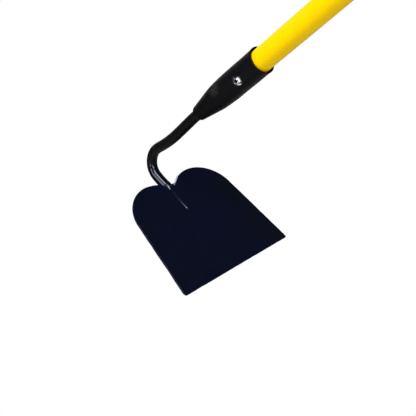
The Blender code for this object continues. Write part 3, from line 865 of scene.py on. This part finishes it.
def add_node(beside, kind, inputs=(), **settings):
    """Add a node. Inputs are values by name or number; a value that is a socket gets linked."""
    tree = beside.id_data
    node = tree.nodes.new("ShaderNode" + kind)
    for setting, value in settings.items():
        setattr(node, setting, value)
    for key, value in dict(inputs).items():
        if isinstance(value, bpy.types.NodeSocket):
            tree.links.new(value, node.inputs[key])
        else:
            node.inputs[key].default_value = value
    return node


def drive(shader, **sources):
    """Link sockets to the shader's inputs of those names."""
    for name, source in sources.items():
        shader.id_data.links.new(source, shader.inputs[name.replace("_", " ")])


def bump(shader, height, distance, strength, **before):
    """Tilt the shading by the slope of a height, in metres at full strength, after a tilt before."""
    inputs = {"Height": height, "Distance": distance, "Strength": strength, **before}
    tilted = add_node(shader, "Bump", inputs).outputs["Normal"]
    drive(shader, Normal=tilted)
    return tilted


# %% [markdown]
# ## Patterns and mixtures
# The same few steps come back in every finish: a place, a noise, a range of that noise, and a
# blend of two tones by it. Each is a short function that returns its node's output, so the calls
# nest as a formula does.

# %% Patterns and mixtures
HANDLE_SLOPE = math.atan2(-ALONG[2], ALONG[0])
print("the handle slopes by", round(math.degrees(HANDLE_SLOPE), 2), "degrees")


def place_of(shader, scale=(1.0, 1.0, 1.0), slope=0.0):
    """Object coordinates, each multiplied by its scale, and then turned back by a slope."""
    coordinates = add_node(shader, "TexCoord").outputs["Object"]
    inputs = {"Vector": coordinates, "Rotation": (0.0, -slope, 0.0), "Scale": scale}
    return add_node(shader, "Mapping", inputs).outputs["Vector"]


def layer(shader, name):
    """The value that a mesh stores under a name at each point."""
    return add_node(shader, "Attribute", attribute_name=name).outputs["Fac"]


def noise(place, scale, detail=2.0, roughness=0.5):
    """The grey value of a noise texture."""
    inputs = {"Vector": place, "Scale": scale, "Detail": detail, "Roughness": roughness}
    return add_node(place, "TexNoise", inputs).outputs["Fac"]


def between(value, low, high, out_low=0.0, out_high=1.0):
    """Map one range of a value to another, clamped and eased."""
    inputs = enumerate((value, low, high, out_low, out_high))
    return add_node(value, "MapRange", inputs, interpolation_type="SMOOTHSTEP").outputs["Result"]


def rough_from(pattern, low, high):
    """A roughness from low to high over the middle of a noise's range."""
    return between(pattern, 0.3, 0.7, low, high)


def blend(share, first, second):
    """A colour between two others; each is a socket or three numbers."""
    first, second = (
        value if isinstance(value, bpy.types.NodeSocket) else (*value, 1.0) for value in (first, second)
    )
    return add_node(share, "Mix", {0: share, 6: first, 7: second}, data_type="RGBA").outputs[2]


def mix(share, first, second):
    """A number between two others."""
    return add_node(share, "Mix", {0: share, 2: first, 3: second}).outputs[0]


def calculate(operation, first, second):
    """A Math node."""
    return add_node(first, "Math", {0: first, 1: second}, operation=operation).outputs[0]


# %% [markdown]
# ## Blue-black enamel for the blade
# The blade was dipped in a blue-black enamel. It is so dark that its colour shows only as a faint
# navy, a little greyer to one side from a painted sheen, and a painted sheen keeps the rib at the
# flats' tone. Enamel flows before it sets and leaves shallow waves, and shipping leaves hairline
# scratches. The strip ground along the back of the edge is bare steel, and so is the notch's torn
# wall, whose pale bluish tone is also a painted highlight. A pale spot at the rib's foot is a
# painted highlight. One material holds all of these, so that their borders can be ragged.

# %% The blade's enamel
ENAMEL_BLUES = (0.0014, 0.0030, 0.0150), (0.0021, 0.0033, 0.0130)
# painted sheen: a greyer tone where the enamel would mirror the room, set into its colour
ENAMEL_PAINTED_SHEEN = (0.0026, 0.0038, 0.0094)
ENAMEL_SPECKS = (0.004, 0.005, 0.009)
# painted sheen: the rib's tone is made greyer, like the satin reflection on the flats
ENAMEL_RIB_PAINTED_SHEEN = (0.0022, 0.0036, 0.0135)
# painted highlight: a pale bluish tone for the bare notch wall and for a spot at the rib's foot
BARE_STEEL_AND_HIGHLIGHT = (0.40, 0.46, 0.53)
GROUND_STEEL = (0.30, 0.30, 0.31), (0.62, 0.62, 0.63)
HIGHLIGHT_SPOT_PLACE = (-0.0066, 0.1030, 0.0004)   # where a pale spot is painted as a highlight at the rib's foot
HIGHLIGHT_SPOT_RADII = (0.0009, 0.0008)
STREAKS = (60.0, 900.0, 60.0)    # cells of noise in a metre of X, Y and Z: a low number draws them out
SCRATCHES = (90.0, 700.0, 140.0)


def enamel_colour(shader, at):
    """Two dark blues in broad clouds, a painted sheen that greys one side, lighter specks, and a painted
    sheen on the rib.
    """
    clouds = between(noise(at, 9.0, detail=3.0), 0.35, 0.65)
    # painted sheen: the enamel's colour turns greyer where it would mirror the room
    grey = between(calculate("ADD", layer(shader, "painted_sheen"), noise(at, 25.0, detail=3.0)), 0.45, 1.45)
    specks = between(noise(at, 900.0), 0.55, 0.75)
    paint = blend(grey, blend(clouds, *ENAMEL_BLUES), ENAMEL_PAINTED_SHEEN)
    paint = blend(calculate("MULTIPLY", specks, 0.25), paint, ENAMEL_SPECKS)
    # painted sheen on the pressed rib, so that its smoother enamel keeps the flats' tone
    return blend(layer(shader, "pressed"), paint, ENAMEL_RIB_PAINTED_SHEEN)


def bare_and_highlight_places(shader, at):
    """1 on the notch's sheared wall, bare steel painted pale as a highlight, and on a painted highlight
    spot at the rib's foot, both with ragged borders.
    """
    flakes = noise(at, 480.0)
    wall = calculate("ADD", layer(shader, "bare"), calculate("MULTIPLY", flakes, 0.6))
    ends = {0: at, 1: tuple(on_blade(*HIGHLIGHT_SPOT_PLACE))}
    from_highlight_spot = add_node(shader, "VectorMath", ends, operation="DISTANCE").outputs["Value"]
    from_highlight_spot = calculate("ADD", from_highlight_spot, calculate("MULTIPLY", flakes, 0.0006))
    return calculate("MAXIMUM", between(wall, 0.85, 1.05), between(from_highlight_spot, *HIGHLIGHT_SPOT_RADII))


def blade_enamel():
    """The enamel with hairline scratches in its gloss, bare metal where it is ground, and painted
    highlight on the notch's wall and at the rib's foot.
    """
    finish, shader = start_finish("blade_enamel", IOR=1.45, Specular_IOR_Level=0.4)
    at = place_of(shader)
    # the notch's wall and the spot at the rib's foot get a pale painted highlight
    paint = blend(bare_and_highlight_places(shader, at), enamel_colour(shader, at), BARE_STEEL_AND_HIGHLIGHT)
    ground = layer(shader, "ground")
    streaks = noise(place_of(shader, STREAKS), 1.0)
    colour = blend(ground, paint, blend(streaks, *GROUND_STEEL))
    scratches = between(noise(place_of(shader, SCRATCHES), 1.0, detail=4.0), 0.64, 0.74)
    satin = rough_from(noise(at, 60.0, detail=3.0), 0.205, 0.245)
    satin = calculate("ADD", satin, calculate("MULTIPLY", scratches, 0.05))
    rough = mix(layer(shader, "pressed"), satin, 0.12)
    drive(shader, Base_Color=colour, Metallic=ground, Roughness=rough)
    waves = bump(shader, noise(at, 260.0), distance=0.00008, strength=0.5)
    bump(shader, streaks, distance=0.00003, strength=0.4, Normal=waves)
    return finish


settle(blade, blade_enamel(), "blade_paint", "blade")

# %% [markdown]
# ## The bar's black coat
# The bar is glossy at the bend, where the enamel ran thick, and satin towards the socket. Two
# materials would meet in a hard line, so one does both: a value stored along the bar fades the
# gloss in, the roughness down and the grain out.

# %% The bar's coat
SATIN_BLACKS = (0.0020, 0.0020, 0.0024), (0.0062, 0.0058, 0.0060)
GLOSS_BLACK = (0.0015, 0.002, 0.004)

coat, shader = start_finish("bar_coat", IOR=1.5)
at = place_of(shader)
gloss = layer(shader, "gloss")
dust = between(noise(at, 420.0, detail=4.0, roughness=0.65), 0.45, 0.75)
colour = blend(gloss, blend(dust, *SATIN_BLACKS), GLOSS_BLACK)
mottle = noise(at, 500.0, detail=3.0)
rough = mix(gloss, rough_from(mottle, 0.46, 0.60), 0.05)
drive(shader, Base_Color=colour, Roughness=rough, Specular_IOR_Level=mix(gloss, 0.09, 0.5))
grain = calculate("MULTIPLY", mottle, between(gloss, 0.0, 1.0, 1.0, 0.01))
bump(shader, grain, distance=0.00012, strength=0.6)
settle(bar, coat, "shank_paint", "shank")

# %% [markdown]
# ## Coated and bare weld metal
# Most weld metal has the black coat of the rest, glossy over pits, and burnt brown in places. The
# nugget in the notch and the spatter beside it are bare steel with a bluish bloom, and their pale
# tones are partly a painted highlight. One function makes both bare finishes, because only their
# tones differ.

# %% The welds' coat and the spatter's bare metal
WELD_BLACK, WELD_BROWN = (0.003, 0.003, 0.0045), (0.012, 0.009, 0.008)
# painted highlight: the nugget and the spatter are bare steel made pale enough to show as light spots
NUGGET_BARE_AND_HIGHLIGHT = (0.16, 0.17, 0.20), (0.36, 0.37, 0.43)
SPATTER_BARE_AND_HIGHLIGHT = (0.30, 0.35, 0.40), (0.52, 0.58, 0.64)


def weld_bare_and_highlight(name, dark, bright):
    """Bare steel with a bluish bloom between two tones, pale partly as a painted highlight."""
    finish, shader = start_finish(name, Metallic=0.6)
    bloom = noise(place_of(shader), 900.0, detail=3.0)
    colour = blend(between(bloom, 0.35, 0.65), dark, bright)
    drive(shader, Base_Color=colour, Roughness=rough_from(bloom, 0.25, 0.45))
    bump(shader, bloom, distance=0.0001, strength=0.4)
    return finish


coat, shader = start_finish("weld_coat", IOR=1.5)
at = place_of(shader)
burnt = between(noise(at, 350.0, detail=3.0), 0.52, 0.72)
rough = rough_from(noise(at, 700.0), 0.14, 0.34)
drive(shader, Base_Color=blend(burnt, WELD_BLACK, WELD_BROWN), Roughness=rough)
bump(shader, noise(at, 900.0, detail=3.0), distance=0.00012, strength=0.5)
settle(bead_left, coat, "weld_steel", "weld_back_left")
settle(bead_right, coat, "weld_steel", "weld_back_right")
settle(notch_lumps[0], weld_bare_and_highlight("nugget_bare_highlight", *NUGGET_BARE_AND_HIGHLIGHT), "weld_steel", "weld_notch")
for lump in notch_lumps[1:]:
    settle(lump, coat, "weld_steel")
settle(neck_ring, coat, "weld_steel", "neck_weld")
settle(spatter, weld_bare_and_highlight("spatter_bare_highlight", *SPATTER_BARE_AND_HIGHLIGHT), "weld_steel")

# %% [markdown]
# ## The socket's powder coat
# The socket has a satin powder coat, whose fine grain scatters the light. Near its shoulder one
# patch turns a brownish grey. The stored value says where, and the grain breaks it up.

# %% The socket's powder coat
SOCKET_BLACKS = (0.0012, 0.0012, 0.0015), (0.0050, 0.0046, 0.0050)
BROWN_PATCH_TONE = (0.040, 0.032, 0.028)

coat, shader = start_finish("socket_coat", IOR=1.5, Specular_IOR_Level=0.07)
at = place_of(shader)
grain = noise(at, 1100.0, detail=3.0, roughness=0.6)
broad = calculate("MULTIPLY", noise(at, 70.0, detail=3.0), 0.5)
browned = between(calculate("ADD", layer(shader, "rubbed"), broad), 0.45, 1.30)
browned = calculate("MULTIPLY", browned, between(grain, 0.46, 0.58))
# a brownish grey patch near the shoulder, broken up by the grain
colour = blend(browned, blend(between(grain, 0.35, 0.7), *SOCKET_BLACKS), BROWN_PATCH_TONE)
drive(shader, Base_Color=colour, Roughness=rough_from(grain, 0.48, 0.66))
bump(shader, grain, distance=0.00022, strength=0.6)
settle(socket, coat, "socket_paint", "socket")

# %% [markdown]
# ## The handle's yellow resin
# The handle's colour goes right through the resin. Its sheen is soft and yellowish as well, so
# the reflection is tinted. The die drew fine lines along it, and faint fibres show under the
# surface. Noise that is stretched along the handle gives both.

# %% The handle's resin
RESIN_YELLOWS = (0.855, 0.548, 0.0005), (0.875, 0.562, 0.001)
RESIN_CLOUD = (0.86, 0.54, 0.0005)
RESIN_SHINE = (1.0, 0.85, 0.1, 1.0)      # its reflections are yellowish as well
RESIN_FIBRES = (14.0, 700.0, 700.0)      # fibres and lines are 50 times as long as they are wide
RESIN_CLOUDS = (5.0, 40.0, 40.0)

resin, shader = start_finish("handle_resin", IOR=1.5, Specular_IOR_Level=0.05, Specular_Tint=RESIN_SHINE)
fibres = noise(place_of(shader, RESIN_FIBRES, HANDLE_SLOPE), 1.0, detail=4.0, roughness=0.6)
clouds = noise(place_of(shader, RESIN_CLOUDS, HANDLE_SLOPE), 1.0)
colour = blend(between(fibres, 0.3, 0.75), *RESIN_YELLOWS)
colour = blend(between(clouds, 0.4, 0.8, 0.0, 0.35), colour, RESIN_CLOUD)
drive(shader, Base_Color=colour, Roughness=rough_from(fibres, 0.36, 0.48))
bump(shader, fibres, distance=0.00006, strength=0.5)
settle(handle, resin, "handle_resin", "handle_tube")

# %% [markdown]
# ## The rivet's zinc
# The rivet is bright zinc, scuffed by the punch and nearly black down in the hollow, which is too
# narrow for light to find its way out. One stored value darkens the hollow, and another paints
# shade over the rim at one side.

# %% The rivet's zinc
ZINCS = (0.58, 0.55, 0.53), (0.82, 0.78, 0.74)
# painted shade: dark tones for one side of the rim and for the hollow
ZINC_PAINTED_SHADE, ZINC_HOLE = (0.10, 0.10, 0.11), (0.008, 0.008, 0.010)

zinc, shader = start_finish("rivet_zinc", Metallic=0.97)
scuffs = noise(place_of(shader), 1400.0, detail=4.0, roughness=0.6)
# painted shade: one side of the rim is darkened
coated = between(calculate("ADD", layer(shader, "coated"), scuffs), 0.75, 1.05)
colour = blend(coated, blend(scuffs, *ZINCS), ZINC_PAINTED_SHADE)
colour = blend(layer(shader, "hole"), colour, ZINC_HOLE)
drive(shader, Base_Color=colour, Roughness=rough_from(scuffs, 0.28, 0.38))
bump(shader, scuffs, distance=0.00005, strength=0.4)
settle(rivet, zinc, "rivet_zinc", "rivet")

# %% [markdown]
# ## Vinyl and wood
# The cap is matt vinyl with a fine pebble and a dusty bloom, and the plug is plain hardwood with
# its grain drawn out along the handle. Neither shows from the camera, so two tones and a noise or
# two are enough for each.

# %% The cap's vinyl and the plug's wood
VINYLS = (0.012, 0.012, 0.013), (0.03, 0.029, 0.028)
WOODS = (0.42, 0.27, 0.14), (0.66, 0.48, 0.29)
WOOD_GRAIN = (25.0, 380.0, 380.0)

vinyl, shader = start_finish("cap_vinyl", IOR=1.46, Specular_IOR_Level=0.25)
at = place_of(shader)
pebble = noise(at, 1600.0)
dust = between(noise(at, 120.0, detail=3.0), 0.45, 0.75)
drive(shader, Base_Color=blend(dust, *VINYLS), Roughness=rough_from(pebble, 0.55, 0.72))
bump(shader, pebble, distance=0.0001, strength=0.5)
settle(cap, vinyl, "cap_vinyl", "end_cap")

wood, shader = start_finish("plug_wood", IOR=1.45)
grain = noise(place_of(shader, WOOD_GRAIN, HANDLE_SLOPE), 1.0, detail=5.0, roughness=0.6)
colour = blend(between(grain, 0.3, 0.7), *WOODS)
drive(shader, Base_Color=colour, Roughness=rough_from(grain, 0.6, 0.78))
bump(shader, grain, distance=0.0002, strength=0.5)
plug = frame["nodes"]["core_plug"]
plug.data.materials.clear()
plug.data.materials.append(wood)
print("the plug keeps its own shape and gets its wood")

# %% [markdown]
# ## The camera
# The photograph was taken from in front of the blade and a little below it, with a long lens and
# the camera rolled, so the handle runs up and to the right. The hoe lies on the ground here, so
# from its blade that viewpoint is just under the ground, looking slightly up.

# %% Place the camera
CAMERA_PLACE = Vector((0.10525, -0.7616, -0.09146))
CAMERA_AHEAD = Vector((-0.7278, 0.6685, 0.1530))
CAMERA_UP = Vector((0.4785, 0.3353, 0.8115))
CAMERA_LENS, SENSOR_WIDTH = 76.08, 36.0  # millimetres

# The camera's columns are its right, its up and the reverse of where it looks.
data = bpy.data.cameras.new("photo_camera")
data.lens, data.sensor_width = CAMERA_LENS, SENSOR_WIDTH
data.clip_start, data.clip_end = 0.02, 60.0
camera = add_object("photo_camera", data)
ahead = CAMERA_AHEAD.normalized()
right = ahead.cross(CAMERA_UP).normalized()
turn = Matrix((right, right.cross(ahead), -ahead)).transposed()
camera.matrix_world = Matrix.Translation(CAMERA_PLACE) @ turn.to_4x4()
bpy.context.scene.camera = camera
print("the camera looks", round(math.degrees(math.asin(ahead.z)), 1), "degrees above level")

# %% [markdown]
# ## Studio
# Glossy steel shows what stands round it, so most of the soft boxes are there only to be
# mirrored. Two tall ones, right and left of the camera, give the bright lines down the bend and
# the sheen on the handle, and small weak ones fill the darks around them. The paint and the floor
# are lit by two far lamps that nothing mirrors, and by one more box from behind. In this way the
# reflections can be set without changing the light, and the light without the reflections.

# %% Lamps
HEAD = Vector((-0.70, 0.0, 0.13))        # what the soft boxes are turned to
COOL, PALE = (0.70, 0.83, 1.0), (0.78, 0.82, 1.0)
MIRRORED_BOXES = (               # name, azimuth, elevation, distance, width, height, watts, colour, lean
    ("box_right", -24.0, 14.0, 1.7, 0.66, 2.30, 53.0, COOL, 0.0),
    ("low_right", -26.0, -35.0, 1.7, 0.50, 0.90, 6.5, COOL, 0.0),
    ("box_left", -84.0, 12.0, 1.7, 0.60, 1.73, 21.2, PALE, 0.0),
    ("between", -58.0, 24.0, 1.8, 0.50, 1.10, 5.5, (0.62, 0.84, 0.92), 0.0),
    ("low_left", -103.0, -21.0, 1.7, 0.36, 0.50, 3.7, PALE, 0.0),
    ("below", -36.0, -51.0, 1.7, 1.10, 0.70, 8.6, (0.90, 0.95, 1.0), 0.0),
    ("back_card", 180.0, -34.0, 0.75, 0.90, 1.80, 6.0, (0.95, 0.97, 1.0), 90.0),
)


def add_lamp(name, kind, power, azimuth, elevation, distance=0.0, lean=0.0, **settings):
    """A lamp on a sphere round the hoe's head, turned towards it, leant, unseen by the camera."""
    data = bpy.data.lights.new(name, kind)
    data.energy = power
    for setting, value in settings.items():
        setattr(data, setting, value)
    lamp = add_object(name, data)
    a, e = math.radians(azimuth), math.radians(elevation)
    towards = Vector((math.cos(a) * math.cos(e), math.sin(a) * math.cos(e), math.sin(e)))
    turn = towards.to_track_quat("Z", "Y").to_matrix().to_4x4()
    leant = Matrix.Rotation(math.radians(lean), 4, "Z")
    lamp.matrix_world = Matrix.Translation(HEAD + towards * distance) @ (turn @ leant)
    lamp.visible_camera = False
    return lamp


for name, azimuth, elevation, distance, width, height, power, colour, lean in MIRRORED_BOXES:
    size = {"shape": "RECTANGLE", "size": width, "size_y": height}
    box = add_lamp(name, "AREA", power, azimuth, elevation, distance, lean, color=colour, **size)
    box.visible_diffuse = False
add_lamp("behind", "AREA", 48.0, 140.0, 40.0, 5.2, size=3.6)
key = add_lamp("key", "SUN", 3.45, -66.0, 42.0, angle=math.radians(42.0))
fill = add_lamp("fill", "SUN", 0.9, -48.0, -10.0, angle=math.radians(30.0))
key.visible_glossy = fill.visible_glossy = False
print(len(bpy.data.lights), "lamps,", len(MIRRORED_BOXES), "of them only mirrored")

# %% [markdown]
# ## Floor and surroundings
# The photograph shows the hoe on plain white without a shadow, and here its viewpoint is under
# the ground. So the floor is pale from above and clear from beneath, and it throws back less
# light than it shows. The room is white for the camera alone: in reflections it is nearly dark,
# or the black pieces would look grey.

# %% Floor and surroundings
FLOOR_SIZE = 90.0
FLOOR_COLOUR = (0.83, 0.83, 0.82)
FLOOR_BOUNCE = (0.66, 0.66, 0.66)        # its colour as it lights the hoe
ROOM_LIGHT = 0.25                # brightness of the room as it lights the hoe
ROOM_MIRRORED = 0.04             # and as the hoe mirrors it


def empty_tree(owner):
    """The node tree of a material or a world, with nothing in it."""
    owner.use_nodes = True
    owner.node_tree.nodes.clear()
    return owner.node_tree


# The floor is pale from above and clear from beneath.
mesh = bpy.data.meshes.new("floor")
corners = [(x * FLOOR_SIZE / 2, y * FLOOR_SIZE / 2, 0.0) for x, y in ((-1, -1), (1, -1), (1, 1), (-1, 1))]
mesh.from_pydata(corners, [], [(0, 1, 2, 3)])
mesh.materials.append(bpy.data.materials.new("floor_pale"))
tree = empty_tree(mesh.materials[0])
bounced = add_node(tree, "LightPath").outputs["Is Diffuse Ray"]
pale = add_node(tree, "BsdfDiffuse", {"Color": blend(bounced, FLOOR_COLOUR, FLOOR_BOUNCE)}).outputs[0]
clear = add_node(tree, "BsdfTransparent").outputs[0]
beneath = add_node(tree, "NewGeometry").outputs["Backfacing"]
either = add_node(tree, "MixShader", {0: beneath, 1: pale, 2: clear}).outputs[0]
add_node(tree, "OutputMaterial", {"Surface": either})
floor = add_object("floor", mesh)
floor.visible_glossy = floor.visible_shadow = False

# The room is white for the camera, nearly dark in reflections and a soft grey otherwise.
world = bpy.data.worlds.new("studio")
tree = empty_tree(world)
ray = add_node(tree, "LightPath").outputs
mirrored = calculate("MULTIPLY", ray["Is Glossy Ray"], ROOM_MIRRORED - ROOM_LIGHT)
strength = mix(ray["Is Camera Ray"], calculate("ADD", mirrored, ROOM_LIGHT), 1.0)
light = add_node(tree, "Background", {"Color": (1.0, 1.0, 1.0, 1.0), "Strength": strength}).outputs[0]
add_node(tree, "OutputWorld", {"Surface": light})
bpy.context.scene.world = world
bpy.context.scene.view_settings.view_transform = "Standard"
print("the floor is", FLOOR_SIZE, "metres wide and the room's light is", ROOM_LIGHT)
